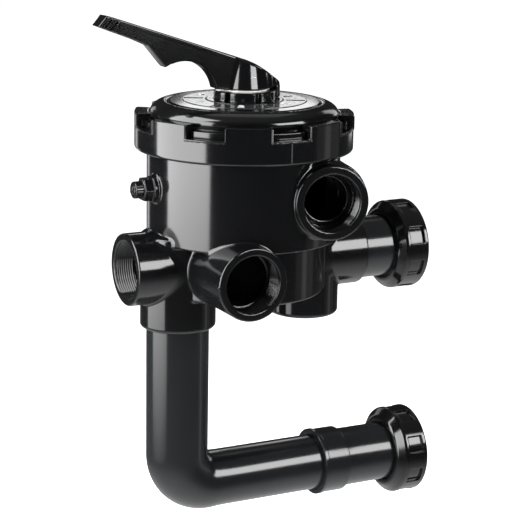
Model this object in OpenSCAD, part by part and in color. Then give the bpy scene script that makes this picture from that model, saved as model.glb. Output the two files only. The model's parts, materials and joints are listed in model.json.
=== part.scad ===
// Multiport valve for a pool sand filter, side-mounted by two union nuts.
// Drawn about the selector axis; at_frame() then moves it to the upper union's seat.

/* [Body] */
// Outer radius of the main chamber
body_r = 96.5; // [94:0.5:98]
// Depth of the main chamber below the lock ring
body_h = 88; // [84:1:92]
// Outer radius of the lower chamber
lower_r = 82.5; // [80:0.5:84]
// Depth of the lower chamber's floor below the lock ring
lower_h = 143; // [138:1:146]
// Wall thickness of the mouldings
wall = 5.5; // [4.5:0.5:6]

/* [Lock ring] */
// Height of the lock ring
ring_h = 36.5; // [35.5:0.5:38]
// Wall of the lock ring outside its thread
ring_wall = 6.5; // [5.5:0.5:8]
// Number of spanner notches
notches = 8; // [6:1:10]

/* [Ports] */
// Outer radius of the threaded ports
port_r = 36; // [34:0.5:37]
// Wall radius of the port threads, two-inch pipe thread
port_bore_r = 28.3; // [27:0.1:29]
// Depth of the port threads
port_depth = 24; // [20:1:26]

/* [Unions] */
// Distance between the two union axes
union_pitch = 230; // [200:1:260]
// Distance from the selector axis to the union seats
seat_x = 186; // [184:1:200]
// Depth of the upper union's axis below the lock ring
union_drop = 114.5; // [112:0.5:116]
// Outer radius of the union nuts
nut_r = 46.3; // [45:0.1:48]
// Thread radius of the union nuts
nut_bore_r = 40; // [39.5:0.1:41]
// Length of the union nuts
nut_len = 33.5; // [32:0.5:36]
// Outer radius of the tailpiece necks
neck_r = 32; // [31:0.5:33]

/* [Pipe] */
// Outer radius of the vertical pipe
pipe_r = 31.5; // [30:0.5:32]
// Outer radius of the horizontal pipe
low_pipe_r = 29; // [28:0.5:29.5]
// Bend radius on the pipe's centre line
bend_r = 33; // [33:1:38]

/* [Selector] */
// Radius of the rotor's stem
stem_r = 9; // [8:0.5:9.5]
// Width of the lever's arm
arm_w = 26; // [22:1:28]
// Radius of the lever's pin
pin_r = 3; // [2.5:0.25:3.5]
// Angle by which the lever is drawn pressed
press = 0; // [0:1:16]

/* [Hidden] */
$fn = 96;
eps = 0.2;                          // overlap that keeps cuts and joins clean
run = 0.06;                         // running clearance of a shaft in its bore

// Body and chamber levels
thread_r = body_r + 6.5;            // neck that carries the lock ring
ring_r = thread_r + ring_wall;
notch_h = 12.5;                     // the notches go through the ring's wall
body_top = 22;
seat_z = -14;                       // faces of the channel walls
chamber_r = body_r - wall;
channel_r = chamber_r - 7;
hub_r = 15;
rib_w = 7;
floor_z = -body_h + 4;
channels = 6;

// Ports and sockets
socket_x = 71;                      // pipe socket and blind boss, either side of the axis
socket_r = 38;
boss_r = 36;
socket_bottom = -176;
left_x = -128;
left_z = -113.5;
front_x = -41.7;
front_y = -109;
front_z = -112;
upper_at = [50, -70, -39.6];        // point on the upper port's axis
upper_turn = 12;                    // its turn away from straight ahead
upper_len = 40;
upper_collar_r = 39.3;
upper_depth = port_depth - 5;       // its thread ends clear of the channels
upper_way_r = 21.5;                 // stays below the gasket's groove
barrel_x = 128;
barrel_r = 36.3;
bore_r = 26;                        // free way through ports and unions

// Drain plug
plug_z = -34.5;
plug_face = 98;
plug_r = 6.5;
bleed_r = 3.5;

// Unions
face_x = seat_x - 1;                // tailpiece faces
flange_r = nut_bore_r - 1.5;
flange_t = 8;
nut_lip = 7;
upper_mouth = seat_x + 8.5;         // the nuts hang loose, so each has its own place
lower_mouth = seat_x + 17.5;
collar_x = 86;
collar_r = 34;

// Cover and selector
flange_top = 30.3;
dome_r = 18;                        // rounding of the cover's shoulder
dome_x = 75.5;
plate_z = 47.4;
plate_r = 61;
hub_top = 58;
ceiling_z = 40.2;
pivot_z = 70;
rotor_z = -13;
cam_z = 59.4;                       // underside of the lever's head

// Moves a node from the selector axis to the part's own frame.
module at_frame() translate([-seat_x, 0, union_drop]) children();

// Cylinder along +X from x0 to x1.
module bar_x(x0, x1, r) translate([x0, 0, 0]) rotate([0, 90, 0]) cylinder(h = x1 - x0, r = r);

// Ring about Z with a square section.
module band(r0, r1, z0, z1) translate([0, 0, z0]) difference() {
    cylinder(h = z1 - z0, r = r1);
    translate([0, 0, -eps]) cylinder(h = z1 - z0 + 2 * eps, r = r0);
}

// O-ring about Z.
module o_ring(ring, section, z) translate([0, 0, z])
    rotate_extrude() translate([ring, 0]) circle(r = section, $fn = 32);

// Radial bars about Z, one for each channel wall.
module spokes(w, r, z0, z1) for (i = [0 : channels - 1]) rotate(i * 360 / channels)
    translate([0, -w / 2, z0]) cube([r, w, z1 - z0]);

// Tube along a port's axis, drawn along +Z with its mouth at z = len.
module port_bore(len, depth, reach) {
    translate([0, 0, len - depth]) cylinder(h = depth + eps, r = port_bore_r);
    translate([0, 0, len - reach]) cylinder(h = reach, r = bore_r);
}

module facing_left() translate([0, 0, left_z]) rotate([0, -90, 0]) children();
module facing_front() translate([front_x, 0, front_z]) rotate([90, 0, 0]) children();
module facing_upper() translate(upper_at) rotate(-upper_turn) rotate([90, 0, 0]) children();

// Vertical tube with a chamfered foot.
module foot(x, r) translate([x, 0, 0]) {
    translate([0, 0, socket_bottom + 4]) cylinder(h = -socket_bottom - 88, r = r);
    translate([0, 0, socket_bottom]) cylinder(h = 4, r1 = r - 4, r2 = r);
}

module body_outside() {
    translate([0, 0, -body_h]) cylinder(h = body_h + 1, r = body_r);
    translate([0, 0, 0.6]) cylinder(h = body_top - 0.6, r = thread_r);
    translate([0, 0, -lower_h]) cylinder(h = lower_h - 60, r = lower_r);
    foot(-socket_x, socket_r);
    foot(socket_x, boss_r);
    facing_left() cylinder(h = -left_x, r = port_r);
    facing_front() cylinder(h = -front_y, r = port_r);
    facing_upper() {
        cylinder(h = upper_len, r = port_r + 0.6);
        cylinder(h = upper_len - 12, r = upper_collar_r);
    }
    translate([0, 0, -union_drop]) bar_x(50, barrel_x, barrel_r);
    translate([0, 0, plug_z]) bar_x(-plug_face, -80, 14.5);
}

module body_inside() {
    translate([0, 0, seat_z]) cylinder(h = 50, r = chamber_r);
    difference() {
        translate([0, 0, floor_z + 4]) cylinder(h = seat_z - floor_z - 4 + eps, r = channel_r);
        translate([0, 0, floor_z]) cylinder(h = seat_z - floor_z, r = hub_r);
        spokes(rib_w, channel_r + 1, floor_z, seat_z);
    }
    // Three channels open downward into the lower chamber.
    for (i = [0 : 2 : 4]) rotate(30 + i * 60)
        translate([50, 0, floor_z - 5]) cylinder(h = 12, r = 17);
    difference() {
        translate([0, 0, -lower_h + wall])
            cylinder(h = lower_h - wall + floor_z, r = lower_r - wall);
        translate([-2.5, -90, -lower_h]) cube([5, 180, lower_h]);
    }
}

module body_bores() {
    facing_left() port_bore(-left_x, port_depth, 80);
    facing_front() port_bore(-front_y, port_depth, 62);
    facing_upper() {
        translate([0, 0, upper_len - upper_depth]) cylinder(h = upper_depth + eps, r = port_bore_r);
        translate([0, 0, -20]) cylinder(h = upper_len, r = upper_way_r);
    }
    translate([0, 0, -union_drop]) {
        bar_x(100, barrel_x + eps, neck_r - 2);
        bar_x(48, 101, bore_r);
    }
    translate([-socket_x, 0, socket_bottom - eps]) cylinder(h = 36 + eps, r = pipe_r);
    translate([-socket_x, 0, -142]) cylinder(h = 32, r = bore_r + 1);
    translate([socket_x, 0, socket_bottom + 6]) cylinder(h = 44, r = boss_r - wall);
    translate([0, 0, plug_z]) bar_x(-plug_face - eps, -75, plug_r + run);
}

module body_grooves() {
    // Gasket groove in the channel walls, cover seal groove, and plug seal groove.
    band(channel_r, channel_r + 4, seat_z - 3, seat_z + eps);
    spokes(4, channel_r + 2, seat_z - 3, seat_z + eps);
    translate([0, 0, seat_z - 3]) cylinder(h = 4, r = 11);
    band(chamber_r + 3, chamber_r + 7.5, body_top - 4, body_top + eps);
    translate([0, 0, plug_z]) difference() {
        bar_x(-plug_face - eps, -plug_face + 2.4, 11);
        bar_x(-plug_face - 1, -plug_face + 3, 8);
    }
}

module valve_body() color("#1a1b1d") at_frame() difference() {
    body_outside();
    body_inside();
    body_bores();
    body_grooves();
}

module spider_gasket() color("#2b2b2b") at_frame() {
    band(channel_r + 0.1, channel_r + 3.9, seat_z - 2.9, seat_z + 0.7);
    spokes(3.8, channel_r + 2, seat_z - 2.9, seat_z + 0.7);
    translate([0, 0, seat_z - 2.9]) cylinder(h = 3.6, r = 10.9);
}

// Stem top: flat tongue between the lever's ears.
module tongue() intersection() {
    translate([0, 0, 50]) cylinder(h = 40, r = stem_r);
    union() {
        translate([-stem_r, -6, 50]) cube([2 * stem_r, 12, pivot_z - 50]);
        translate([0, 6, pivot_z]) rotate([90, 0, 0]) cylinder(h = 12, r = stem_r);
    }
}

module rotor() color("#3a3d40") at_frame() difference() {
    union() {
        translate([0, 0, rotor_z]) cylinder(h = 7, r = chamber_r - 3.5);
        // Hood that joins the pump channel to the selected one.
        intersection() {
            translate([0, 0, rotor_z]) cylinder(h = 19, r = chamber_r - 12);
            translate([0, -34, rotor_z]) cube([90, 68, 19]);
        }
        cylinder(h = 11, r = 22);
        translate([0, 0, rotor_z]) cylinder(h = 69, r = stem_r);
        tongue();
    }
    intersection() {
        translate([0, 0, rotor_z - 1]) cylinder(h = 16, r = chamber_r - 16);
        translate([24, -30, rotor_z - 1]) cube([60, 60, 16]);
    }
    for (a = [120, 180, 240]) rotate(a) translate([52, 0, rotor_z - 1]) cylinder(h = 9, r = 19);
    for (z = [45, 51]) band(stem_r - 2.2, stem_r + 2, z - 1.2, z + 1.2);
    translate([0, 10, pivot_z]) rotate([90, 0, 0]) cylinder(h = 20, r = pin_r + run);
}

module stem_o_rings() color("#151515") at_frame()
    for (z = [45, 51]) o_ring(stem_r - 1.1, 1.05, z);

module lower_spring_washer() color("#b9bcbf") at_frame() band(stem_r + 0.3, 20, 11, 12.5);

module upper_spring_washer() color("#b9bcbf") at_frame()
    band(stem_r + 0.3, 20, ceiling_z - 1.8, ceiling_z - 0.2);

// Coil spring around the stem, swept along a helix.
spring_low = 14.2;
spring_high = ceiling_z - 3.5;
spring_turns = 5;
wire_r = 1.6;
coil_r = 14.5;
spring_steps = spring_turns * 20;
wire_sides = 8;

function helix(t) = [coil_r * cos(360 * spring_turns * t), coil_r * sin(360 * spring_turns * t),
                     spring_low + (spring_high - spring_low) * t];
function wire_point(t, k) = helix(t)
    + wire_r * cos(k * 360 / wire_sides)
        * [cos(360 * spring_turns * t), sin(360 * spring_turns * t), 0]
    + wire_r * sin(k * 360 / wire_sides) * [0, 0, 1];

module selector_spring() color("#c8cacc") at_frame() polyhedron(
    points = [for (i = [0 : spring_steps], k = [0 : wire_sides - 1])
                  wire_point(i / spring_steps, k)],
    faces = concat(
        [[for (k = [0 : wire_sides - 1]) k]],
        [[for (k = [wire_sides - 1 : -1 : 0]) spring_steps * wire_sides + k]],
        [for (i = [0 : spring_steps - 1], k = [0 : wire_sides - 1])
            [i * wire_sides + k, (i + 1) * wire_sides + k,
             (i + 1) * wire_sides + (k + 1) % wire_sides, i * wire_sides + (k + 1) % wire_sides]]));

module cover_section() {
    difference() {
        union() {
            translate([0, body_top + 0.2]) square([dome_x, plate_z - body_top - 0.2]);
            intersection() {
                translate([dome_x, plate_z - dome_r]) circle(r = dome_r);
                translate([0, body_top + 0.2]) square([120, 60]);
            }
            translate([0, body_top + 0.2])
                square([thread_r - 2, flange_top - body_top - 0.2]);
            translate([dome_x - 3.5, 40]) square([3, 8.5]);
            translate([0, 40]) square([38.5, 9]);
            translate([0, 40]) square([30.5, hub_top - 40]);
            translate([chamber_r - 6, 8]) square([5.7, 20]);
        }
        translate([-eps, 0]) square([chamber_r - 6 + eps, 28]);
        translate([30, 27]) square([dome_x - 30, ceiling_z + 1 - 27]);
        translate([-eps, 27]) square([40, ceiling_z - 27]);
        translate([dome_x, plate_z - dome_r]) circle(r = dome_r - wall - 2);
        translate([-eps, 0]) square([stem_r + run + eps, 80]);
        translate([dome_x, plate_z + 0.6]) circle(r = 1.6, $fn = 32);
    }
}

module cover() color("#1a1b1d") at_frame() difference() {
    rotate_extrude() cover_section();
    // Detent slots in the hub, one for each position.
    for (i = [0 : channels - 1]) rotate(30 + i * 360 / channels)
        translate([24, -3, 49]) cube([10, 6, hub_top - 48]);
}

module cover_o_ring() color("#151515") at_frame() o_ring(chamber_r + 5.25, 1.95, body_top - 2);

module index_plate() color("#8d9093") at_frame()
    band(39.2, plate_r, plate_z, plate_z + 1);

module thrust_washer() color("#d8d8d4") at_frame() band(stem_r + 0.6, 22, hub_top, hub_top + 1.2);

module ring_section()
    polygon([[thread_r + run, 0], [ring_r - 3, 0], [ring_r, 3], [ring_r, ring_h - 1.5],
             [ring_r - 1.5, ring_h], [dome_x + dome_r + 1, ring_h],
             [dome_x + dome_r + 1, flange_top + 0.2], [thread_r + run, flange_top + 0.2]]);

module lock_ring() color("#1a1b1d") at_frame() difference() {
    union() {
        rotate_extrude() ring_section();
        // Alignment rib.
        rotate(-93.5) translate([ring_r - 1, -0.8, 3]) cube([2, 1.6, ring_h - 16]);
    }
    for (i = [0 : notches - 1]) rotate(-3.5 + i * 360 / notches) intersection() {
        band(dome_x + dome_r, ring_r + 4, ring_h - notch_h, ring_h + 2);
        linear_extrude(60) polygon([[0, 0], [140, -140 * tan(11.25)], [140, 140 * tan(11.25)]]);
    }
}

// Lever seen from the side, and from above.
module lever_side() difference() {
    polygon([[-160.5, 126.3], [-152.5, 136.3], [-146.5, 135.7], [-1, 88.6], [10, 84.5], [38.7, 64.5],
             [38.7, 49.4], [31.2, 49.4], [31.2, 61], [22, cam_z], [-22, cam_z], [-35.2, 61],
             [-84, 88], [-89.5, 84.8], [-100.5, 89.6], [-108, 97], [-116, 108.3],
             [-146.5, 122.1]]);
    translate([-70.5, 54.5]) circle(r = 35.3);
}

module lever_plan() {
    translate([-170, -arm_w / 2]) square([170, arm_w]);
    intersection() {
        circle(r = 35.6);
        translate([-40, -20]) square([72, 40]);
    }
    translate([0, -6]) square([38.8, 12]);
}

module lever() color("#1a1b1d") at_frame() translate([0, 0, pivot_z]) rotate([0, -press, 0])
    translate([0, 0, -pivot_z]) difference() {
        intersection() {
            translate([0, 30, 0]) rotate([90, 0, 0]) linear_extrude(60) lever_side();
            translate([0, 0, 40]) linear_extrude(110) lever_plan();
        }
        translate([-12.5, -6.3, 40]) cube([25, 12.6, 42]);
        translate([0, 30, pivot_z]) rotate([90, 0, 0]) cylinder(h = 60, r = pin_r);
    }

module lever_pin() color("#c8cacc") at_frame()
    translate([0, 19, pivot_z]) rotate([90, 0, 0]) cylinder(h = 38, r = pin_r);

// Hexagonal drain plug with the bleed screw's bore.
module drain_plug() color("#1f2022") at_frame() translate([0, 0, plug_z]) difference() {
    union() {
        bar_x(-plug_face - 3.6, -plug_face - 0.4, 13.2);
        translate([-plug_face - 3, 0, 0]) rotate([0, -90, 0]) cylinder(h = 9.5, r = 12.4, $fn = 6);
        bar_x(-plug_face - 1, -84, plug_r);
    }
    bar_x(-plug_face - 14, -plug_face + 5, bleed_r + run);
}

module drain_plug_o_ring() color("#151515") at_frame()
    translate([-plug_face + 1.15, 0, plug_z]) rotate([0, 90, 0]) o_ring(9.5, 1.1, 0);

module bleed_screw() color("#1f2022") at_frame() translate([0, 0, plug_z]) difference() {
    union() {
        bar_x(-plug_face - 13, -plug_face + 3, bleed_r);
        bar_x(-plug_face - 21.5, -plug_face - 12.8, 8.4);
        bar_x(-plug_face - 23.5, -plug_face - 21, 4);
    }
    for (i = [0 : 11]) rotate([i * 30, 0, 0]) translate([-plug_face - 22, 0, 8.6])
        bar_x(0, 8, 1.1, $fn = 24);
}

module elbow_bend(r) translate([-socket_x + bend_r, 0, -union_drop - union_pitch + bend_r])
    rotate([90, 0, 0]) rotate([0, 0, 180]) rotate_extrude(angle = 90)
        translate([bend_r, 0]) circle(r = r);

module elbow_pipe() color("#232426") at_frame() difference() {
    bend_z = -union_drop - union_pitch + bend_r;
    taper_x = -socket_x + bend_r;
    union() {
        translate([-socket_x, 0, bend_z]) cylinder(h = -141 - bend_z, r = pipe_r);
        elbow_bend(pipe_r);
        translate([taper_x, 0, bend_z - bend_r]) rotate([0, 90, 0])
            cylinder(h = 14, r1 = pipe_r, r2 = low_pipe_r);
        translate([0, 0, bend_z - bend_r]) bar_x(taper_x + 14, collar_x + 25, low_pipe_r);
    }
    translate([-socket_x, 0, bend_z]) cylinder(h = 200, r = pipe_r - 4.5);
    elbow_bend(pipe_r - 4.5);
    translate([taper_x, 0, bend_z - bend_r]) rotate([0, 90, 0])
        cylinder(h = 14, r1 = pipe_r - 4.5, r2 = low_pipe_r - 4);
    translate([0, 0, bend_z - bend_r]) bar_x(taper_x + 14, collar_x + 26, low_pipe_r - 4);
}

// Neck and sealing flange that both tailpieces end in.
module tail_end(x0) {
    bar_x(x0, face_x - flange_t + 1, neck_r);
    bar_x(face_x - flange_t, face_x, flange_r);
}

module seal_groove() difference() {
    bar_x(face_x - 2.6, face_x + eps, 34.6);
    bar_x(face_x - 3, face_x + 1, 30);
}

module upper_tailpiece() color("#1f2022") at_frame() translate([0, 0, -union_drop]) difference() {
    union() {
        bar_x(101, barrel_x + 1, neck_r - 2);
        tail_end(barrel_x);
    }
    bar_x(100, face_x + 1, bore_r);
    seal_groove();
}

module lower_tailpiece() color("#1f2022") at_frame()
    translate([0, 0, -union_drop - union_pitch]) difference() {
        union() {
            bar_x(collar_x, collar_x + 30, collar_r);
            bar_x(collar_x, collar_x + 4, collar_r + 1);
            tail_end(collar_x + 29);
        }
        bar_x(collar_x - 1, collar_x + 25, low_pipe_r);
        bar_x(collar_x, face_x + 1, low_pipe_r - 4);
        seal_groove();
    }

module union_seal(drop) color("#151515") at_frame() translate([face_x - 0.95, 0, -drop])
    rotate([0, 90, 0]) o_ring(32.3, 1.5, 0);

module upper_seal() union_seal(union_drop);
module lower_seal() union_seal(union_drop + union_pitch);

// Union nut about X with its mouth at mouth_x; its thread ends at the seat.
module union_nut(mouth_x, drop) color("#1a1b1d") at_frame() translate([0, 0, -drop]) difference() {
    back = mouth_x - nut_len;
    union() {
        translate([back, 0, 0]) rotate([0, 90, 0]) cylinder(h = 8, r1 = neck_r + 4.5, r2 = nut_r);
        bar_x(back + 8, mouth_x, nut_r);
    }
    bar_x(back - 1, back + nut_lip + 1, neck_r + run);
    bar_x(back + nut_lip, seat_x, nut_bore_r + 1);
    bar_x(seat_x - eps, mouth_x + 1, nut_bore_r);
    for (i = [0 : 7]) rotate([i * 45, 0, 0]) intersection() {
        difference() {
            bar_x(back + 12, mouth_x - 5, nut_r + 3);
            bar_x(back + 11, mouth_x - 4, nut_r - 3);
        }
        rotate([0, 90, 0]) linear_extrude(260)
            polygon([[0, 0], [80, -80 * tan(10)], [80, 80 * tan(10)]]);
    }
}

module upper_union_nut() union_nut(upper_mouth, union_drop);
module lower_union_nut() union_nut(lower_mouth, union_drop + union_pitch);

valve_body();
spider_gasket();
rotor();
stem_o_rings();
lower_spring_washer();
selector_spring();
upper_spring_washer();
cover();
cover_o_ring();
index_plate();
thrust_washer();
lock_ring();
lever();
lever_pin();
drain_plug();
drain_plug_o_ring();
bleed_screw();
elbow_pipe();
upper_tailpiece();
upper_seal();
upper_union_nut();
lower_tailpiece();
lower_seal();
lower_union_nut();
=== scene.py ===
"""Looks for the multiport valve: moulded shells, threads, dial marks, studio light and camera."""

import json
import math

import bpy
import numpy as np
from mathutils import Matrix, Vector


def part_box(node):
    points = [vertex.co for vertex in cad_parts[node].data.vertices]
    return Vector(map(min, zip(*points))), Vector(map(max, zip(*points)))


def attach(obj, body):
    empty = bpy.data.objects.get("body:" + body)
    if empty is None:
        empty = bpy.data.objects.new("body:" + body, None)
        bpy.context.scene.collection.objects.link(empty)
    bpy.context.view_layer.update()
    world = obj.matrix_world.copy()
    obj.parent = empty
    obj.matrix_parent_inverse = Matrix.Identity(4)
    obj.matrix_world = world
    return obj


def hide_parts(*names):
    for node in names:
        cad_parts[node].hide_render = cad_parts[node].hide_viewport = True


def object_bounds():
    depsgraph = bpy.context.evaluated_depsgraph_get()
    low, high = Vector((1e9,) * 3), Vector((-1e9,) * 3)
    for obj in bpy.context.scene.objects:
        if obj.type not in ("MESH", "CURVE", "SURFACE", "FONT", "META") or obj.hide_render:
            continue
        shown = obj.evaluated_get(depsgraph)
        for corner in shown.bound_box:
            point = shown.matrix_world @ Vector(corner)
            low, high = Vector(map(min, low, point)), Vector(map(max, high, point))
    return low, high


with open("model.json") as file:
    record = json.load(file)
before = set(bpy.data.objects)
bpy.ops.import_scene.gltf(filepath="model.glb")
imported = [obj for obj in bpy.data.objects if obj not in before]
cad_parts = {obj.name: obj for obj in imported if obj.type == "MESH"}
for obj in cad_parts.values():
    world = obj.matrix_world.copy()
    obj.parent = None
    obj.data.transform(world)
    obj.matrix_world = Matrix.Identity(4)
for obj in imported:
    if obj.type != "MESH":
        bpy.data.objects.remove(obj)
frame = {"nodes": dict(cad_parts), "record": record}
cad_low, cad_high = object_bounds()

# Places, in the row frame in metres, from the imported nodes.
ring_low, ring_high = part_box("lock_ring")
AXIS = Vector(((ring_low.x + ring_high.x) / 2, 0.0, ring_low.z))   # selector axis at the ring's foot


def mm(node):
    """A node's box in millimetres about AXIS."""
    low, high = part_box(node)
    return (low - AXIS) * 1000, (high - AXIS) * 1000


# Shape numbers, in millimetres about AXIS.
BODY_LOW, BODY_HIGH = mm("valve_body")
RING_LOW, RING_HIGH = mm("lock_ring")
COVER_LOW, COVER_HIGH = mm("cover")
LEVER_LOW, LEVER_HIGH = mm("lever")
PIPE_HIGH = mm("elbow_pipe")[1]
UPPER_NUT = mm("upper_union_nut")
LOWER_NUT = mm("lower_union_nut")
UPPER_TAIL = mm("upper_tailpiece")
LOWER_TAIL = mm("lower_tailpiece")
PLUG_LOW, PLUG_HIGH = mm("drain_plug")
BLEED_LOW, BLEED_HIGH = mm("bleed_screw")
PLATE_HIGH = mm("index_plate")[1]

RING_R = 109.5
RING_H = RING_HIGH.z
BODY_R = 96.5
LOWER_R = 82.5
CHAMBER_R = 91.0
CHANNEL_R = 84.0
UNION_Z = (UPPER_NUT[0].z + UPPER_NUT[1].z) / 2
LOW_UNION_Z = (LOWER_NUT[0].z + LOWER_NUT[1].z) / 2
SOCKET_X = 71.0
SOCKET_FOOT = BODY_LOW.z
PLUG_Z = (PLUG_LOW.z + PLUG_HIGH.z) / 2
PORT_R = 36.0
PORT_BORE = 28.3
PORT_DEPTH = 24.0
WAY_R = 26.0


# ---------------------------------------------------------------- distance fields

def length(*parts):
    return np.sqrt(sum(p * p for p in parts))


def rounded(u, v, edge):
    """Inside where u and v are both negative, with the corner between them rounded."""
    u, v = u + edge, v + edge
    return np.minimum(np.maximum(u, v), 0) + length(np.maximum(u, 0), np.maximum(v, 0)) - edge


def join(a, b, fillet=1.5):
    """Union with a concave fillet."""
    return np.maximum(fillet, np.minimum(a, b)) - length(
        np.maximum(fillet - a, 0), np.maximum(fillet - b, 0))


def carve(a, b, edge=0.8):
    """a without b, with the new edge rounded."""
    return np.minimum(-edge, np.maximum(a, -b)) + length(
        np.maximum(edge + a, 0), np.maximum(edge - b, 0))


def overlap(a, b, edge=0.8):
    """Intersection with its edge rounded."""
    return carve(a, -b, edge)


def ease(t):
    """Smooth step from 0 to 1."""
    t = np.clip(t, 0, 1)
    return t * t * (3 - 2 * t)


def span(u, v, low, high, edge):
    """Inside where u is negative and v lies between low and high."""
    return rounded(u, np.abs(v - (low + high) / 2) - (high - low) / 2, edge)


def bar(p, at, along, r, low, high, edge=1.0):
    """Round bar from low to high along a unit vector through at."""
    dx, dy, dz = p[0] - at[0], p[1] - at[1], p[2] - at[2]
    a = dx * along[0] + dy * along[1] + dz * along[2]
    radial = np.sqrt(np.maximum(dx * dx + dy * dy + dz * dz - a * a, 0))
    return span(radial - r, a, low, high, edge)


def block(p, at, half, edge=0.8):
    """Box with rounded edges."""
    u, v, w = (np.abs(p[i] - at[i]) - half[i] + edge for i in range(3))
    outside = length(np.maximum(u, 0), np.maximum(v, 0), np.maximum(w, 0))
    return np.minimum(np.maximum(np.maximum(u, v), w), 0) + outside - edge


def outline(u, v, points):
    """Signed distance to a closed polygon in the plane."""
    best = np.full(u.shape, 1e9, np.float32)
    inside = np.zeros(u.shape, bool)
    for (ax, ay), (bx, by) in zip(points, points[1:] + points[:1]):
        ex, ey = bx - ax, by - ay
        wx, wy = u - ax, v - ay
        t = np.clip((wx * ex + wy * ey) / (ex * ex + ey * ey), 0, 1)
        best = np.minimum(best, (wx - ex * t) ** 2 + (wy - ey * t) ** 2)
        crosses = (ay > v) != (by > v)
        if ey:
            inside ^= crosses & (u < ex * (v - ay) / ey + ax)
    return np.where(inside, -np.sqrt(best), np.sqrt(best))


def repeat_angle(a, b, count, first=0.0):
    """Polar copies: radius along the nearest of count directions, and the offset across it."""
    r, t = length(a, b), np.arctan2(b, a) - math.radians(first)
    step = 2 * math.pi / count
    t = (t + step / 2) % step - step / 2
    return r * np.cos(t), r * np.sin(t)


ORIGIN, X, Z = (0, 0, 0), (1, 0, 0), (0, 0, 1)


# ---------------------------------------------------------------- meshes

def grid_mesh(field, low, high, cell):
    """Quads of the field's zero surface: one vertex in each cell that it crosses."""
    axes = [np.arange(l - 2.3 * cell, h + 2.3 * cell, cell, dtype=np.float32)
            for l, h in zip(low, high)]
    shape = tuple(len(a) for a in axes)
    value = np.empty(shape, np.float32)
    for i in range(0, shape[0], 16):
        part = np.meshgrid(axes[0][i:i + 16], axes[1], axes[2], indexing="ij")
        value[i:i + 16] = field(part)
    solid = value < 0
    corners = [(i, j, k) for i in (0, 1) for j in (0, 1) for k in (0, 1)]

    def at(grid, c):
        return grid[tuple(slice(o, n - 1 + o) for o, n in zip(c, shape))]

    count = sum(at(solid, c).astype(np.int8) for c in corners)
    cells = np.argwhere((count > 0) & (count < 8))
    index = np.full(count.shape, -1, np.int64)
    index[tuple(cells.T)] = np.arange(len(cells))

    total = np.zeros((len(cells), 3))
    crossings = np.zeros(len(cells))
    for c in corners:
        for axis in range(3):
            if c[axis]:
                continue
            d = tuple(v + (i == axis) for i, v in enumerate(c))
            va = value[tuple((cells + c).T)]
            vb = value[tuple((cells + d).T)]
            cross = (va < 0) != (vb < 0)
            t = np.where(cross, va / np.where(cross, va - vb, 1), 0)
            point = np.tile(np.array(c, float), (len(cells), 1))
            point[:, axis] += t
            total += point * cross[:, None]
            crossings += cross
    points = (cells + total / crossings[:, None]) * cell + [a[0] for a in axes]

    quads = []
    for axis in range(3):
        b, c = (axis + 1) % 3, (axis + 2) % 3
        low_side = tuple(slice(0, -1) if i == axis else slice(1, -1) for i in range(3))
        high_side = tuple(slice(1, None) if i == axis else slice(1, -1) for i in range(3))
        turn = np.argwhere(solid[low_side] != solid[high_side])
        outward = solid[low_side][tuple(turn.T)]
        base = turn + [0 if i == axis else 1 for i in range(3)]
        loop = []
        for ob, oc in ((0, 0), (-1, 0), (-1, -1), (0, -1)):
            at_cell = base.copy()
            at_cell[:, b] += ob
            at_cell[:, c] += oc
            loop.append(index[tuple(at_cell.T)])
        loop = np.stack(loop, 1)
        loop[~outward] = loop[~outward][:, ::-1]
        quads.append(loop)
    return points, np.concatenate(quads)


def slope(field, points, step=0.12):
    """The field and its gradient at points, from four samples."""
    corners = np.array(((1, -1, -1), (-1, -1, 1), (-1, 1, -1), (1, 1, 1)), float)
    samples = [field(list((points + step * c).T)) for c in corners]
    gradient = sum(s[:, None] * c for s, c in zip(samples, corners)) / (4 * step)
    return sum(samples) / 4, gradient


def linked(name, data):
    """New object with the data, in the scene."""
    thing = bpy.data.objects.new(name, data)
    bpy.context.scene.collection.objects.link(thing)
    return thing


def to_object(name, points, faces, normals=None):
    """Object from points in millimetres about AXIS."""
    mesh = bpy.data.meshes.new(name)
    points = np.asarray(points, float) / 1000 + np.array(AXIS)
    faces = np.asarray(faces)
    mesh.vertices.add(len(points))
    mesh.vertices.foreach_set("co", points.ravel().astype(np.float32))
    mesh.loops.add(faces.size)
    mesh.loops.foreach_set("vertex_index", faces.ravel().astype(np.int32))
    mesh.polygons.add(len(faces))
    size = faces.shape[1]
    mesh.polygons.foreach_set("loop_start", np.arange(0, faces.size, size, dtype=np.int32))
    mesh.polygons.foreach_set("use_smooth", np.ones(len(faces), bool))
    mesh.update(calc_edges=True)
    mesh.validate()
    if normals is not None and len(mesh.vertices) == len(normals):
        mesh.normals_split_custom_set_from_vertices(normals.tolist())
    return linked(name, mesh)


def moulded(name, field, low, high, cell):
    """Object of a field's surface, with its points and normals taken from the field."""
    points, faces = grid_mesh(field, low, high, cell)
    for _ in range(3):
        value, gradient = slope(field, points)
        size = np.maximum((gradient ** 2).sum(1), 0.25)
        move = -gradient * (value / size)[:, None]
        reach = np.maximum(np.linalg.norm(move, axis=1), 1e-9)
        points = points + move * np.minimum(1, 0.35 * cell / reach)[:, None]
    _, gradient = slope(field, points, 0.2)
    normals = gradient / np.maximum(np.linalg.norm(gradient, axis=1), 1e-9)[:, None]
    return to_object(name, points, faces, normals)


# ---------------------------------------------------------------- valve body

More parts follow.
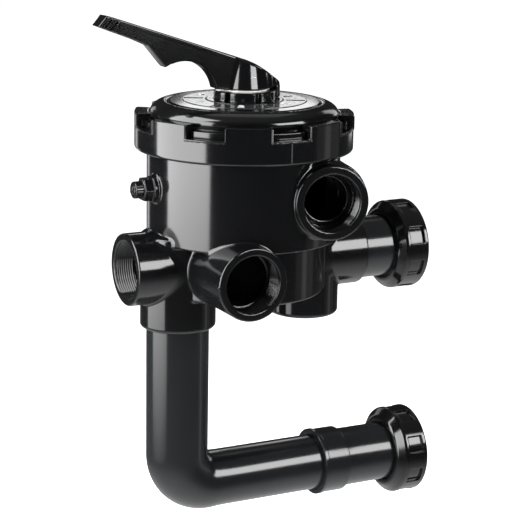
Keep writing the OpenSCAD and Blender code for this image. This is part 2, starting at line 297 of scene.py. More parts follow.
FRONT_PORT = ((-41.7, 0, -112), (0, -1, 0), 109.0)
LEFT_PORT = ((0, 0, -113.5), (-1, 0, 0), -BODY_LOW.x)
TURN = math.radians(12)
UPPER_PORT = ((50, -70, -39.6), (-math.sin(TURN), -math.cos(TURN), 0), 40.0)
COLLAR_R = 39.3
BARREL_R = 36.3
BOSS_R = 36.0
SOCKET_R = 38.0
SOCKET, BLIND_BOSS = (-SOCKET_X, 0, 0), (SOCKET_X, 0, 0)
SIDE_BOSS = (0, 0, -34.5)               # takes the drain plug
BARREL = (0, 0, UNION_Z)
MAIN_FOOT, LOWER_FOOT = -88, -143       # undersides of the main and the lower chamber
SEAT_Z = -14                            # tops of the channel walls
CHANNELS = 6
WAY_BEARINGS = (30, 150, 270)           # holes between the two chambers


def port(p, solid, spec, r=PORT_R, edge=1.6):
    """solid with a port's outside joined on; spec is its place, direction and reach."""
    at, along, mouth = spec
    return join(solid, bar(p, at, along, r, -10, mouth, edge), 2.2)


def port_hole(p, solid, spec, reach, way=WAY_R):
    """solid with a port's threaded bore and the narrower way behind it cut out."""
    at, along, mouth = spec
    solid = carve(solid, bar(p, at, along, PORT_BORE, mouth - PORT_DEPTH, mouth + 9, 0.6), 1.3)
    return carve(solid, bar(p, at, along, way, mouth - reach, mouth, 0.6), 1.0)


def valve_body(p):
    """Chambers, sockets and ports, then what is hollowed out of them."""
    x, y = p[0], p[1]
    solid = bar(p, ORIGIN, Z, BODY_R, MAIN_FOOT, 10, 1.2)
    solid = join(solid, bar(p, ORIGIN, Z, LOWER_R, LOWER_FOOT, -60, 2.5), 1.5)
    solid = join(solid, bar(p, SOCKET, Z, SOCKET_R, SOCKET_FOOT, -80, 4), 2.0)
    solid = join(solid, bar(p, BLIND_BOSS, Z, BOSS_R, SOCKET_FOOT, -80, 4), 2.0)
    solid = port(p, solid, LEFT_PORT)
    solid = port(p, solid, FRONT_PORT)
    solid = port(p, solid, (UPPER_PORT[0], UPPER_PORT[1], 28.0), COLLAR_R, 1.4)
    solid = port(p, solid, UPPER_PORT, PORT_R + 0.6)
    solid = join(solid, bar(p, BARREL, X, BARREL_R, 50, BODY_HIGH.x, 1.6), 2.2)
    solid = join(solid, bar(p, SIDE_BOSS, X, 14.5, -98, -80, 0.8), 1.2)
    solid = np.minimum(solid, bar(p, ORIGIN, Z, 103, 0.6, BODY_HIGH.z, 0.5))
    # Parting nibs on the front port's rim.
    (port_x, _, port_z), _, mouth = FRONT_PORT
    for side in (-PORT_R, PORT_R):
        solid = join(solid, block(p, (port_x + side, -mouth + 5, port_z), (1.2, 4, 1.0)), 0.6)

    solid = port_hole(p, solid, LEFT_PORT, 80)
    solid = port_hole(p, solid, FRONT_PORT, 62)
    solid = port_hole(p, solid, UPPER_PORT, 60, 21.5)
    solid = carve(solid, bar(p, BARREL, X, 30, 100, 140, 0.4), 0.8)
    solid = carve(solid, bar(p, BARREL, X, WAY_R, 48, 110, 0.4), 0.8)
    solid = carve(solid, bar(p, SOCKET, Z, 31.5, -190, -140, 0.4), 1.0)
    solid = carve(solid, bar(p, SOCKET, Z, 27, -150, -110, 0.4), 0.8)
    solid = carve(solid, bar(p, BLIND_BOSS, Z, 30.5, SOCKET_FOOT + 6, -126, 2), 0.8)
    solid = carve(solid, bar(p, SIDE_BOSS, X, 6.56, -110, -75, 0.2), 0.3)

    # Rotor chamber, channels and the lower chamber.
    solid = carve(solid, bar(p, ORIGIN, Z, CHAMBER_R, SEAT_Z, 40, 0.5), 0.6)
    _, across = repeat_angle(x, y, CHANNELS)
    channels = bar(p, ORIGIN, Z, CHANNEL_R, -80, SEAT_Z + 1, 0.5)
    channels = np.maximum(channels, 3.5 - np.abs(across))
    channels = np.maximum(channels, 15 - length(x, y))
    solid = np.maximum(solid, -channels)
    lower = bar(p, ORIGIN, Z, 77, LOWER_FOOT + 5.5, -84, 2)
    solid = np.maximum(solid, -np.maximum(lower, 2.5 - np.abs(x)))
    for angle in WAY_BEARINGS:
        at = (50 * math.cos(math.radians(angle)), 50 * math.sin(math.radians(angle)), 0)
        solid = np.maximum(solid, -bar(p, at, Z, 17, -90, -76, 0.5))
    return solid


# ---------------------------------------------------------------- cover, ring, lever

LID_Z, LID_R = 47.4, 75.5
SHOULDER_WIDE, SHOULDER_TALL = 18, 11   # the rounding outside the lid
LABEL_R = 61.4                          # the lid's raised border starts here
HUB_R, HUB_TOP = 30.5, 58
STEP_R, STEP_TOP = 38.5, 49
STEM_BORE = 9.06


def cover(p):
    """Lid with a rounded shoulder, flange, hub and skirt, hollow below."""
    x, y, z = p
    r = length(x, y)
    dome = rounded(r - (LID_R + SHOULDER_WIDE), np.abs(z - 34.8) - 12.6, 0.5)
    drop = (z - (LID_Z - SHOULDER_TALL)) * (SHOULDER_WIDE / SHOULDER_TALL)
    shoulder = length(r - LID_R, drop) - SHOULDER_WIDE
    dome = np.maximum(dome, np.where(r > LID_R, shoulder, z - LID_Z))
    solid = join(dome, bar(p, ORIGIN, Z, 101, 22.2, 30.3, 0.8), 1.0)
    border = np.maximum(np.maximum(r - LID_R, LABEL_R - r), z - LID_Z - (LID_R - r) * 0.03)
    solid = join(solid, np.maximum(border, 40 - z), 0.4)
    groove = length(r - 77.2, z - 48.4) - 2.2
    solid = carve(solid, groove, 0.6)
    solid = join(solid, bar(p, ORIGIN, Z, STEP_R, 40, STEP_TOP, 0.8), 0.6)
    solid = join(solid, bar(p, ORIGIN, Z, HUB_R, 40, HUB_TOP, 1.2), 1.2)
    solid = join(solid, rounded(np.abs(r - 87.85) - 2.85, np.abs(z - 18) - 10, 0.6), 0.8)
    # Hollow under the lid and inside the skirt, six position slots in the hub, stem bore.
    solid = carve(solid, rounded(r - 73, np.abs(z - 20) - 20.6, 3), 0.6)
    solid = join(solid, bar(p, ORIGIN, Z, 30, 40.2, 45, 0.3), 0.4)
    solid = carve(solid, rounded(r - 84.4, np.abs(z - 10) - 17, 3), 0.5)
    along, across = repeat_angle(x, y, 6, 30)
    slot = np.maximum(np.abs(across) - 3, np.abs(along - 29) - 5)
    slot = np.maximum(slot, np.abs(z - 54.5) - 5.5)
    solid = carve(solid, slot, 0.6)
    return carve(solid, bar(p, ORIGIN, Z, STEM_BORE, -10, 80, 0.1), 0.5)


NOTCHES = 8
NOTCH_FIRST = -1.5                      # bearing of the first, in degrees
NOTCH_HALF = math.radians(10.3)
NOTCH_FLOOR = 24.0
RIB_BEARING = math.radians(-91.5)


def lock_ring(p):
    """Ring with spanner notches through its upper wall."""
    x, y, z = p
    r = length(x, y)
    solid = rounded(r - RING_R, np.abs(z - RING_H / 2) - RING_H / 2, 1.2)
    solid = overlap(solid, (r - RING_R + 2.6 - z) * 0.7071, 1.0)
    # Notches through the wall, each with a thin raised frame.
    along, across = repeat_angle(x, y, NOTCHES, NOTCH_FIRST)
    inside = np.maximum((np.abs(np.arctan2(across, along)) - NOTCH_HALF) * r, NOTCH_FLOOR - z)
    frame_line = np.maximum(np.abs(inside - 1.1) - 0.7, np.abs(r - RING_R + 0.3) - 0.8)
    solid = overlap(solid, r - RING_R + 0.7, 0.6)
    solid = join(solid, np.maximum(frame_line, z - RING_H + 0.6), 0.35)
    solid = carve(solid, inside, 0.7)
    # Alignment rib below one notch, and a groove for the fingers above the foot.
    cos, sin = math.cos(RIB_BEARING), math.sin(RIB_BEARING)
    rib = block((x * cos + y * sin, y * cos - x * sin, z),
                (RING_R - 0.6, 0, 13.2), (1.0, 0.9, 10.4), 0.4)
    solid = join(solid, rib, 0.5)
    solid = carve(solid, rounded(r - 103.06, np.abs(z - 10) - 20.5, 0.3), 0.6)
    return carve(solid, rounded(r - 94.5, np.abs(z - 30) - 30, 0.3), 1.2)


LEVER_SIDE = [(-158.3, 125.8), (-149.8, 135.6), (-144, 134.9), (-1, 88.6), (10, 84.5), (38.7, 64.5),
              (38.7, 49.4), (31.2, 49.4), (31.2, 61), (22, 59.4), (-22, 59.4), (-35.2, 61),
              (-82, 87.3), (-88.3, 84.2), (-90.5, 86.3), (-106.8, 105.7), (-120, 111.5)]
ARM_HALF = 9.0
HEAD_DISCS = ((0, 21.1), (16, 15.0), (30.4, 8.2))      # place along the lever and radius, from above
HEAD_TAPER = 0.17
TOP_SLOPE = 0.324
NOSE_SLOPE = 0.697
FLANGE = 4.0                            # the arm's sides are sunk below its top flange
GRIP_NORMAL = (0.756, -0.655)           # across the grip grooves, as seen from the side
GRIP_DEPTHS = (5.0, 11.0)               # grooves' distances from the arm's end
FINGER_ARC = (-68.8, 54, 35.4)          # centre and radius of the hollow under the arm


def lever(p):
    """Arm with sunk sides and a grip, and a head that narrows to a nose."""
    x, y, z = p
    arc_x, arc_z, arc_r = FINGER_ARC
    side = carve(outline(x, z, LEVER_SIDE), length(x - arc_x, z - arc_z) - arc_r, 1.0)
    # Top of the arm and of the nose, both crowned across the head.
    crown = ease((x + 70) / 60) * y * y / 76
    over_arm = (z - 88.6 + (x + 1) * TOP_SLOPE + crown) * 0.951
    over_nose = (z - 64.5 + (x - 38.7) * NOSE_SLOPE + crown) * 0.82
    side = overlap(side, overlap(over_arm, over_nose, 4), 1.5)
    # Seen from above: an arm with sunk sides and a head that narrows to a nose.
    sink = 1.8 * ease((-34 - x) / 30) * ease((x + 139) / 4)
    flange = np.maximum(np.abs(y) - ARM_HALF, -over_arm - FLANGE)
    plan = np.maximum(join(np.abs(y) - ARM_HALF + sink, flange, 0.8), x)
    shrink = HEAD_TAPER * np.maximum(z - 60, 0)
    for at, radius in HEAD_DISCS:
        plan = join(plan, (length(x - at, y) - radius + shrink) * 0.98, 3)
    body = overlap(side, plan, 1.6)
    end_x, end_z = LEVER_SIDE[0]
    for depth in GRIP_DEPTHS:
        across = (x - end_x) * GRIP_NORMAL[0] + (z - end_z) * GRIP_NORMAL[1] - depth
        body = carve(body, np.maximum(np.abs(across) - 1.8, ARM_HALF - 2.4 - np.abs(y)), 0.5)
    slot = block(p, (0, 0, 61), (12.5, 6.3, 21), 0.3)
    return carve(body, slot, 0.5)


# ---------------------------------------------------------------- unions, pipe, plug

NECK_R = 32.0
NUT_R = 46.3
NUT_BORE = 40.0
PADS = 8
PAD_HALF = math.radians(11)
SEAL_FLANGE_R = 38.5
SEAT_X = -AXIS.x * 1000                 # the part's origin lies on the union seats


def union_nut(box):
    """Field of a union nut about X with its mouth at the box's high side."""
    back, mouth = box[0].x, box[1].x
    height = (box[0].z + box[1].z) / 2

    def field(p):
        x, y, z = p[0], p[1], p[2] - height
        r = length(y, z)
        cone = (r - NECK_R - 5.0 - (x - back) * 1.15) * 0.66
        solid = overlap(span(r - NUT_R, x, back, mouth, 1.6), cone, 1.5)
        along, across = repeat_angle(y, z, PADS, 22.5)
        angle = np.abs(np.arctan2(across, along)) - PAD_HALF
        pocket = span(angle * r, x, back + 12, mouth - 5, 1.0)
        pocket = np.maximum(pocket, NUT_R - 3.0 - r)
        solid = carve(solid, pocket, 0.7)
        solid = carve(solid, rounded(r - NECK_R - 0.1, np.abs(x - back) - 9, 0.2), 0.8)
        solid = carve(solid, span(r - (NUT_BORE + 1), x, back + 7, SEAT_X, 0.3), 0.3)
        return carve(solid, rounded(r - NUT_BORE, np.abs(x - mouth) - (mouth - SEAT_X + 0.3), 0.3), 1.4)

    return field


def lathe(name, profile, at, sides=128):
    """Surface of revolution about X from a closed outline of (position, radius) pairs."""
    profile = np.array(profile, float)
    turn = np.linspace(0, 2 * np.pi, sides, endpoint=False)
    points = np.zeros((len(profile), sides, 3))
    points[:, :, 0] = profile[:, None, 0]
    points[:, :, 1] = profile[:, None, 1] * np.cos(turn)
    points[:, :, 2] = profile[:, None, 1] * np.sin(turn)
    return closed_rings(name, points + at)


def soft_corners(points, radius=0.7, steps=4):
    """Closed outline with each corner turned into an arc."""
    points = [np.array(q, float) for q in points]
    out = []
    for i, here in enumerate(points):
        before, after = points[i - 1], points[(i + 1) % len(points)]
        u, v = before - here, after - here
        lu, lv = np.linalg.norm(u), np.linalg.norm(v)
        u, v = u / lu, v / lv
        half = math.acos(float(np.clip(u @ v, -1, 1))) / 2
        cut = min(radius / math.tan(half), lu * 0.48, lv * 0.48) if half < 1.55 else 0
        if cut < 1e-3:
            out.append(here)
            continue
        a, b = here + u * cut, here + v * cut
        for s in range(steps + 1):
            t = s / steps
            out.append((1 - t) ** 2 * a + 2 * t * (1 - t) * here + t ** 2 * b)
    return out


def closed_rings(name, points):
    """Object from rings of points, each joined to the next and the last to the first."""
    n, sides = points.shape[:2]
    i, j = np.meshgrid(np.arange(n), np.arange(sides), indexing="ij")
    k, l = (i + 1) % n, (j + 1) % sides
    faces = np.stack([i * sides + j, i * sides + l, k * sides + l, k * sides + j], -1).reshape(-1, 4)
    return to_object(name, points.reshape(-1, 3), faces)


PITCH = 2.31                            # about 11 turns an inch


def inner_thread(name, mouth, inward, r, depth, sides=96):
    """Thread inside a bore of radius r, from its mouth along the unit vector inward."""
    inward = np.array(inward, float)
    u = np.cross(inward, (0.0, 0.0, 1.0))
    u /= np.linalg.norm(u)
    v = np.cross(inward, u)
    turn = np.linspace(0, 2 * np.pi, sides, endpoint=False)
    along = np.arange(1.2, depth - 0.4, PITCH / 8)
    wave = np.abs(((along[:, None] - PITCH * turn / (2 * np.pi)) / PITCH) % 1 * 2 - 1)
    ends = np.clip(np.minimum(along - 1.2, depth - 0.5 - along) / PITCH, 0, 1)
    radius = r - 0.05 - 1.1 * wave * ends[:, None]
    radius = np.vstack([radius, np.full((2, sides), r + 0.4)])
    along = np.concatenate([along, [along[-1], along[0]]])
    points = (np.array(mouth, float) + along[:, None, None] * inward
              + radius[..., None] * (np.cos(turn)[:, None] * u + np.sin(turn)[:, None] * v))
    return closed_rings(name, points[::-1])


def drain_plug(p):
    """Hexagonal plug on a round collar, bored for the bleed screw."""
    x, y, z = p[0], p[1], p[2] - PLUG_Z
    r = length(y, z)
    collar = rounded(r - 13.2, np.abs(x + 100) - 1.6, 0.6)
    flats, _ = repeat_angle(y, z, 6, 30)
    hexagon = rounded(flats - 10.7, np.abs(x + 105.8) - 4.7, 0.5)
    hexagon = overlap(hexagon, (r - 12.6 - (x + 110.5) * 0.6) * 0.85, 0.5)
    solid = join(collar, hexagon, 0.6)
    solid = join(solid, bar(p, (0, 0, PLUG_Z), X, 6.5, PLUG_HIGH.x - 14, PLUG_HIGH.x, 0.6), 0.3)
    solid = join(solid, rounded(np.abs(r - 8.6) - 0.7, np.abs(x + 110.4) - 0.7, 0.4), 0.3)
    return carve(solid, bar(p, (0, 0, PLUG_Z), X, 3.6, -140, -60, 0.1), 0.4)


def bleed_screw(p):
    """Ribbed knob with a nipple."""
    x, y, z = p[0], p[1], p[2] - PLUG_Z
    r = length(y, z)
    knob = rounded(r - 8.4, np.abs(x + 115.1) - 4.3, 1.0)
    along, across = repeat_angle(y, z, 12)
    knob = carve(knob, np.maximum(length(along - 9.0, across) - 1.25, -x - 118.2), 0.35)
    knob = join(knob, rounded(r - 4, np.abs(x + 120) - 1.5, 0.7), 0.6)
    knob = carve(knob, np.maximum(np.abs(z) - 0.7, np.abs(x + 121.5) - 1.4), 0.3)
    return join(knob, bar(p, (0, 0, PLUG_Z), X, 3.45, -114, BLEED_HIGH.x, 0.5), 0.4)


def tailpiece(name, box, start, collar=None):
    """Neck, sealing flange and way of a union's tailpiece."""
    height = (box[0].z + box[1].z) / 2
    face = SEAT_X - 1
    way = WAY_R if collar is None else 25.0
    neck = NECK_R if collar is None else NECK_R - 1.4
    if collar is None:
        outside = [(box[0].x + 0.2, 30), (BODY_HIGH.x, 30), (BODY_HIGH.x, NECK_R)]
    else:
        outside = [(start, collar + 1), (start + 4, collar + 1), (start + 4.5, collar),
                   (start + 29, collar), (start + 31, neck)]
    flange = [(face - 8, neck), (face - 8, SEAL_FLANGE_R), (face, SEAL_FLANGE_R), (face, 34.6),
              (face - 2.6, 34.6), (face - 2.6, 30), (face, 30), (face, way)]
    inside = [(start + 25, way), (start + 25, 29.05), (start, 29.05)]
    if collar is None:
        inside = [(box[0].x + 0.2, way)]
    return lathe(name, soft_corners(outside + flange + inside)[::-1], (0, 0, height))


PIPE_R, PIPE_NARROW = 31.5, 2.5         # radius at the socket, and how much it loses by the bend
PIPE_BEND = 33.0
PIPE_WALL = 4.5


def elbow_pipe():
    """Outside and bore of the bent pipe: rings along its centre line, narrowing at the bend."""
    top, foot_z = PIPE_HIGH.z, LOW_UNION_Z
    bend = PIPE_BEND
    centre = (-SOCKET_X + bend, foot_z + bend)
    path = [(-SOCKET_X, top - (top - centre[1]) * t) for t in np.linspace(0, 1, 24)]
    path += [(centre[0] - bend * math.cos(t), centre[1] - bend * math.sin(t))
             for t in np.linspace(0, math.pi / 2, 40)[1:]]
    path += [(centre[0] + (PIPE_HIGH.x - centre[0]) * t, foot_z) for t in np.linspace(0, 1, 36)[1:]]
    path = np.array(path)
    step = np.gradient(path, axis=0)
    step /= np.linalg.norm(step, axis=1)[:, None]
    side = np.stack([-step[:, 1], step[:, 0]], 1)
    run = np.concatenate([[0], np.cumsum(np.linalg.norm(np.diff(path, axis=0), axis=1))])
    bend_from = top - centre[1]
    t = np.clip((run - bend_from - 20) / 50, 0, 1)
    outer = PIPE_R - PIPE_NARROW * t * t * (3 - 2 * t)
    turn = np.linspace(0, 2 * np.pi, 96, endpoint=False)

    def rings(radius):
        points = np.zeros((len(path), len(turn), 3))
        across = radius[:, None] * np.cos(turn)
        points[:, :, 0] = path[:, :1] + side[:, :1] * across
        points[:, :, 2] = path[:, 1:] + side[:, 1:] * across
        points[:, :, 1] = radius[:, None] * np.sin(turn)
        return points

    wall = PIPE_WALL - 0.5 * t
    return closed_rings("bent_pipe", np.concatenate([rings(outer), rings(outer - wall)[::-1]]))


# ---------------------------------------------------------------- materials

def plastic(name, colour, rough, grain=0.02, grain_scale=900, coat=0.0):
    """Moulded plastic: faint orange peel, flow streaks and handling marks in its gloss."""
    material = bpy.data.materials.new(name)
    material.use_nodes = True
    nodes, links = material.node_tree.nodes, material.node_tree.links
    shader = nodes["Principled BSDF"]
    shader.inputs["IOR"].default_value = 1.53
    shader.inputs["Coat Weight"].default_value = coat
    shader.inputs["Coat Roughness"].default_value = 0.08
    place = nodes.new("ShaderNodeTexCoord")

    def noise(scale, detail, stretch=(1, 1, 1)):
        mapping = nodes.new("ShaderNodeMapping")
        mapping.inputs["Scale"].default_value = stretch
        texture = nodes.new("ShaderNodeTexNoise")
        texture.inputs["Scale"].default_value = scale
        texture.inputs["Detail"].default_value = detail
        links.new(place.outputs["Object"], mapping.inputs["Vector"])
        links.new(mapping.outputs["Vector"], texture.inputs["Vector"])
        return texture.outputs["Fac"]

    def between(source, low, high):
        ramp = nodes.new("ShaderNodeMapRange")
        ramp.inputs["From Min"].default_value = 0.3
        ramp.inputs["From Max"].default_value = 0.7
        ramp.inputs["To Min"].default_value = low
        ramp.inputs["To Max"].default_value = high
        links.new(source, ramp.inputs["Value"])
        return ramp.outputs["Result"]

    tint = nodes.new("ShaderNodeMix")
    tint.data_type = "RGBA"
    tint.inputs["A"].default_value = (*colour, 1)
    tint.inputs["B"].default_value = (*(min(1, c * 1.2 + 0.001) for c in colour), 1)
    links.new(between(noise(14, 5, (1, 1, 0.35)), 0, 1), tint.inputs["Factor"])
    links.new(tint.outputs["Result"], shader.inputs["Base Color"])
    links.new(between(noise(26, 3), rough * 0.92, rough * 1.12), shader.inputs["Roughness"])
    bump = nodes.new("ShaderNodeBump")
    bump.inputs["Strength"].default_value = grain
    bump.inputs["Distance"].default_value = 0.0006
    links.new(noise(grain_scale, 2), bump.inputs["Height"])
    links.new(bump.outputs["Normal"], shader.inputs["Normal"])
    return material


MATERIALS = {
    "black_plastic": plastic("black_plastic", (0.0022, 0.0023, 0.0026), 0.12),
    "nut_plastic": plastic("nut_plastic", (0.0026, 0.0023, 0.0024), 0.11),
    "pipe_plastic": plastic("pipe_plastic", (0.0058, 0.0066, 0.0072), 0.15),
    "plug_plastic": plastic("plug_plastic", (0.004, 0.004, 0.0045), 0.15),
    "rotor_plastic": plastic("rotor_plastic", (0.05, 0.055, 0.06), 0.35),
    "washer_plastic": plastic("washer_plastic", (0.6, 0.6, 0.56), 0.35),
    "plate_grey": plastic("plate_grey", (0.03, 0.031, 0.032), 0.11, 0.08, 500),
    "gasket_rubber": plastic("gasket_rubber", (0.02, 0.02, 0.02), 0.6, 0.12, 1500),
    "seal_rubber": plastic("seal_rubber", (0.012, 0.012, 0.012), 0.5, 0.1, 1500),
    "steel": plastic("steel", (0.5, 0.5, 0.51), 0.3, 0.1, 1200),
}
MATERIALS["steel"].node_tree.nodes["Principled BSDF"].inputs["Metallic"].default_value = 1.0

for row in frame["record"]["subparts"]:
    node = frame["nodes"][row["node"]]
    node.data.materials.clear()
    node.data.materials.append(MATERIALS[row["material_slot"]])

MATERIALS["white_mark"] = plastic("white_mark", (0.55, 0.55, 0.54), 0.4)


def finish_piece(piece, body, slot, *nodes):
    """Give a piece its material, the body it rides and the nodes it replaces."""
    piece.data.materials.clear()
    piece.data.materials.append(MATERIALS[slot])
    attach(piece, body)
    "plate_grey" if slot == "white_mark" else slot
    if nodes:
        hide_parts(*nodes)
    return piece


# Name, field, box, cell in millimetres, body, slot and the node it replaces.
for name, field, box, cell, body, slot, node in (
        ("body_shell", valve_body, (BODY_LOW, BODY_HIGH), 1.4, "housing", "black_plastic", "valve_body"),
        ("cover_shell", cover, (COVER_LOW, COVER_HIGH), 1.0, "housing", "black_plastic", "cover"),
        ("ring_shell", lock_ring, (RING_LOW, RING_HIGH), 0.9, "lock_ring", "black_plastic", "lock_ring"),
        ("lever_shell", lever, (LEVER_LOW, LEVER_HIGH), 0.6, "lever", "black_plastic", "lever"),
        ("upper_nut_shell", union_nut(UPPER_NUT), UPPER_NUT, 0.7, "upper_nut", "nut_plastic",
         "upper_union_nut"),
        ("lower_nut_shell", union_nut(LOWER_NUT), LOWER_NUT, 0.7, "lower_nut", "nut_plastic",
         "lower_union_nut")):
    finish_piece(moulded(name, field, *box, cell), body, slot, node)
finish_piece(tailpiece("upper_neck", UPPER_TAIL, 0), "housing", "pipe_plastic", "upper_tailpiece")
finish_piece(tailpiece("lower_neck", LOWER_TAIL, LOWER_TAIL[0].x, 34), "housing", "pipe_plastic",
             "lower_tailpiece")
finish_piece(elbow_pipe(), "housing", "pipe_plastic", "elbow_pipe")
finish_piece(moulded("hex_plug", drain_plug, PLUG_LOW, PLUG_HIGH, 0.45), "drain_plug", "plug_plastic",
             "drain_plug")
finish_piece(moulded("bleed_knob", bleed_screw, BLEED_LOW, BLEED_HIGH, 0.4), "bleed_screw", "plug_plastic",
             "bleed_screw")

for thread, spec, depth in (("left", LEFT_PORT, PORT_DEPTH), ("front", FRONT_PORT, PORT_DEPTH),
                            ("upper", UPPER_PORT, 19)):
    rim = np.array(spec[0]) + np.array(spec[1]) * spec[2]
    finish_piece(inner_thread(thread + "_port_thread", rim, -np.array(spec[1], float), PORT_BORE, depth),
                 "housing", "black_plastic")
for nut, box in (("upper_nut", UPPER_NUT), ("lower_nut", LOWER_NUT)):
    mouth_at = (box[1].x, 0, (box[0].z + box[1].z) / 2)
    finish_piece(inner_thread(nut + "_thread", mouth_at, (-1, 0, 0), NUT_BORE, box[1].x - SEAT_X, 120),
                 nut, "nut_plastic")


def raised(name, outline_points, low, high):
    """Flat plate with the given outline, between two heights."""
    n = len(outline_points)
    mesh = bpy.data.meshes.new(name)
    points = [(x, y, z) for z in (low, high) for x, y in outline_points]
    faces = [tuple(range(n))[::-1], tuple(range(n, 2 * n))]
    faces += [(i, (i + 1) % n, n + (i + 1) % n, n + i) for i in range(n)]
    mesh.from_pydata([tuple(Vector(q) / 1000 + AXIS) for q in points], [], faces)
    return linked(name, mesh)


POSITIONS = 6
NUMERAL_R = 50
RIB_FROM, RIB_TO, RIB_HALF = 41, 60, 0.6


def dial_numeral(number, angle):
    """Raised numeral on the index plate, upright as seen from outside."""
    curve = bpy.data.curves.new("numeral_%d" % number, "FONT")
    curve.body = str(number)
    curve.size = 0.014
    curve.extrude = 0.0003
    curve.bevel_depth = 0.0002
    curve.align_x = curve.align_y = "CENTER"
    text = linked(curve.name, curve)
    bpy.context.view_layer.update()
    mesh = bpy.data.meshes.new_from_object(text)
    bpy.data.objects.remove(text)
    a = math.radians(angle)
    spot = AXIS + Vector((NUMERAL_R * math.cos(a), NUMERAL_R * math.sin(a), PLATE_HIGH.z + 0.1)) / 1000
    mesh.transform(Matrix.Translation(spot) @ Matrix.Rotation(a + math.pi / 2, 4, "Z"))
    return linked("numeral_%d" % number, mesh)


for i in range(POSITIONS):
    finish_piece(dial_numeral(i + 1, i * 60 + 180), "housing", "white_mark")
    a = math.radians(i * 60 + 30)
    ends = [(r * math.cos(a) - w * math.sin(a), r * math.sin(a) + w * math.cos(a))
            for r, w in ((RIB_FROM, -RIB_HALF), (RIB_TO, -RIB_HALF),
                         (RIB_TO, RIB_HALF), (RIB_FROM, RIB_HALF))]
    finish_piece(raised("sector_rib_%d" % (i + 1), ends, PLATE_HIGH.z - 0.3, PLATE_HIGH.z + 0.5),
                 "housing", "plate_grey")


# ---------------------------------------------------------------- studio and camera

AZIMUTH, DIP, ROLL = math.radians(27.31), math.radians(13.76), math.radians(1.03)
CAMERA_DISTANCE = 1.7963
CAMERA_LENS = 122.4
AIM_FROM_AXIS = Vector((0.0196, -0.0018, -0.1172))
forward = Vector((math.sin(AZIMUTH) * math.cos(DIP), math.cos(AZIMUTH) * math.cos(DIP), -math.sin(DIP)))
right = Vector((math.cos(AZIMUTH), -math.sin(AZIMUTH), 0))
up = right.cross(forward)
aim = AXIS + AIM_FROM_AXIS
camera_data = bpy.data.cameras.new("camera")
camera_data.lens = CAMERA_LENS
camera_data.clip_end = 50
camera = linked("camera", camera_data)
camera.location = aim - forward * CAMERA_DISTANCE
basis = Matrix((right, up, -forward)).transposed()
camera.rotation_euler = (basis @ Matrix.Rotation(ROLL, 3, "Z")).to_euler()
bpy.context.scene.camera = camera


STUDIO_CENTRE = Vector((AXIS.x, AXIS.y, AXIS.z - 0.15))


def panel(name, bearing, elevation, distance, width, tall, strength, fade=0.0, lean=0.0):
    """Softbox facing the object. Bearing is in degrees right of the camera, as the object sees it;
    fade is the share of its height over which it dims towards the foot, lean its turn in its plane."""
    b, e = math.radians(bearing), math.radians(elevation)
    level = -Vector((forward.x, forward.y, 0)).normalized() * math.cos(b) + right * math.sin(b)
    mesh = bpy.data.meshes.new(name)
    mesh.from_pydata([(-width / 2, -tall / 2, 0), (width / 2, -tall / 2, 0),
                      (width / 2, tall / 2, 0), (-width / 2, tall / 2, 0)], [], [(0, 1, 2, 3)])
    light = linked(name, mesh)
    out = level * math.cos(e) + Vector((0, 0, math.sin(e)))
    light.location = STUDIO_CENTRE + out * distance
    facing = (-out).to_track_quat("Z", "Y").to_matrix()
    light.rotation_euler = (facing @ Matrix.Rotation(math.radians(lean), 3, "Z")).to_euler()
    material = bpy.data.materials.new(name)
    material.use_nodes = True
    nodes, links = material.node_tree.nodes, material.node_tree.links
    nodes.clear()
    glow = nodes.new("ShaderNodeEmission")
    glow.inputs["Strength"].default_value = strength
    if fade:
        place = nodes.new("ShaderNodeTexCoord")
        parts = nodes.new("ShaderNodeSeparateXYZ")
        ramp = nodes.new("ShaderNodeMapRange")
        ramp.inputs["From Min"].default_value = 0.0
        ramp.inputs["From Max"].default_value = fade
        ramp.inputs["To Min"].default_value = 0.0
        ramp.inputs["To Max"].default_value = strength
        links.new(place.outputs["Generated"], parts.inputs["Vector"])
        links.new(parts.outputs["Y"], ramp.inputs["Value"])
        links.new(ramp.outputs["Result"], glow.inputs["Strength"])
    target = nodes.new("ShaderNodeOutputMaterial")
    links.new(glow.outputs[0], target.inputs["Surface"])
    mesh.materials.append(material)
    light.visible_camera = False


# Bearing and elevation in degrees, distance, width and height in metres, strength, fade, lean.
panel("left_softbox", -67, 4, 1.3, 1.5, 1.5, 9.5, 0.38)
panel("upper_left_softbox", -75, 45, 1.3, 0.95, 0.9, 9.0)
panel("right_softbox", 57, 21.5, 1.2, 0.75, 0.5, 12.0)
panel("right_wall", 98, -14, 1.4, 0.9, 1.1, 0.2)
panel("right_strip", 96, -14, 1.35, 0.2, 1.1, 0.6)
panel("back_left_softbox", 183.7, 21.1, 1.72, 0.16, 0.4, 2.4, 0.0, 16)
panel("back_right_softbox", 176.5, 21.1, 1.72, 0.13, 0.4, 2.4, 0.0, -12)
panel("back_low_panel", 180, 11.0, 1.62, 0.32, 0.22, 0.15)
panel("rear_softbox", 180, 62, 1.5, 0.8, 0.7, 0.5)
panel("rear_left_strip", -150, 2, 1.5, 0.3, 1.0, 1.0)
panel("rear_right_strip", 146, 16, 1.4, 0.35, 1.0, 1.6)


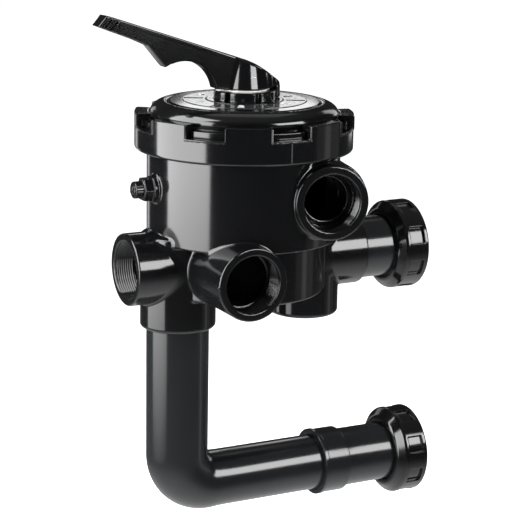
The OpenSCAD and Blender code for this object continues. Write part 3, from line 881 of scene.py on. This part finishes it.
def studio_world():
    """White behind the object, and a dim room with a pale floor in what it reflects."""
    world = bpy.data.worlds.new("studio")
    world.use_nodes = True
    nodes, links = world.node_tree.nodes, world.node_tree.links
    room = nodes["Background"]
    place = nodes.new("ShaderNodeTexCoord")
    parts = nodes.new("ShaderNodeSeparateXYZ")
    ramp = nodes.new("ShaderNodeValToRGB")
    links.new(place.outputs["Generated"], parts.inputs["Vector"])
    shift = nodes.new("ShaderNodeMapRange")
    shift.inputs["From Min"].default_value = -1.0
    links.new(parts.outputs["Z"], shift.inputs["Value"])
    links.new(shift.outputs["Result"], ramp.inputs["Fac"])
    stops = ramp.color_ramp.elements
    stops[0].position, stops[0].color = 0.0, (0.7, 0.7, 0.7, 1)
    stops[1].position, stops[1].color = 1.0, (0.1, 0.1, 0.1, 1)
    for position, level in ((0.18, 0.42), (0.30, 0.12), (0.38, 0.022), (0.5, 0.012), (0.75, 0.018)):
        stop = stops.new(position)
        stop.color = (level, level * 1.01, level * 1.03, 1)
    links.new(ramp.outputs["Color"], room.inputs["Color"])
    room.inputs["Strength"].default_value = 2.0
    backdrop = nodes.new("ShaderNodeBackground")
    backdrop.inputs["Color"].default_value = (1, 1, 1, 1)
    seen = nodes.new("ShaderNodeLightPath")
    mix = nodes.new("ShaderNodeMixShader")
    links.new(seen.outputs["Is Camera Ray"], mix.inputs["Fac"])
    links.new(room.outputs[0], mix.inputs[1])
    links.new(backdrop.outputs[0], mix.inputs[2])
    links.new(mix.outputs[0], nodes["World Output"].inputs["Surface"])
    bpy.context.scene.world = world


studio_world()

FLOOR_DROP = 0.30
FLOOR_HALF = 8.0
FLOOR_GLOW = 1.05                       # lifts the floor to white
floor_mesh = bpy.data.meshes.new("floor")
floor_z = cad_low.z - FLOOR_DROP
corners = [(x * FLOOR_HALF, y * FLOOR_HALF, floor_z) for x, y in ((-1, -1), (1, -1), (1, 1), (-1, 1))]
floor_mesh.from_pydata(corners, [], [(0, 1, 2, 3)])
floor = linked("floor", floor_mesh)
floor_material = bpy.data.materials.new("floor")
floor_material.use_nodes = True
floor_shader = floor_material.node_tree.nodes["Principled BSDF"]
floor_shader.inputs["Base Color"].default_value = (0.9, 0.9, 0.9, 1)
floor_shader.inputs["Roughness"].default_value = 0.9
floor_shader.inputs["Emission Color"].default_value = (1, 1, 1, 1)
floor_shader.inputs["Emission Strength"].default_value = FLOOR_GLOW
floor_mesh.materials.append(floor_material)
floor.visible_glossy = False

bpy.context.scene.view_settings.view_transform = "Standard"
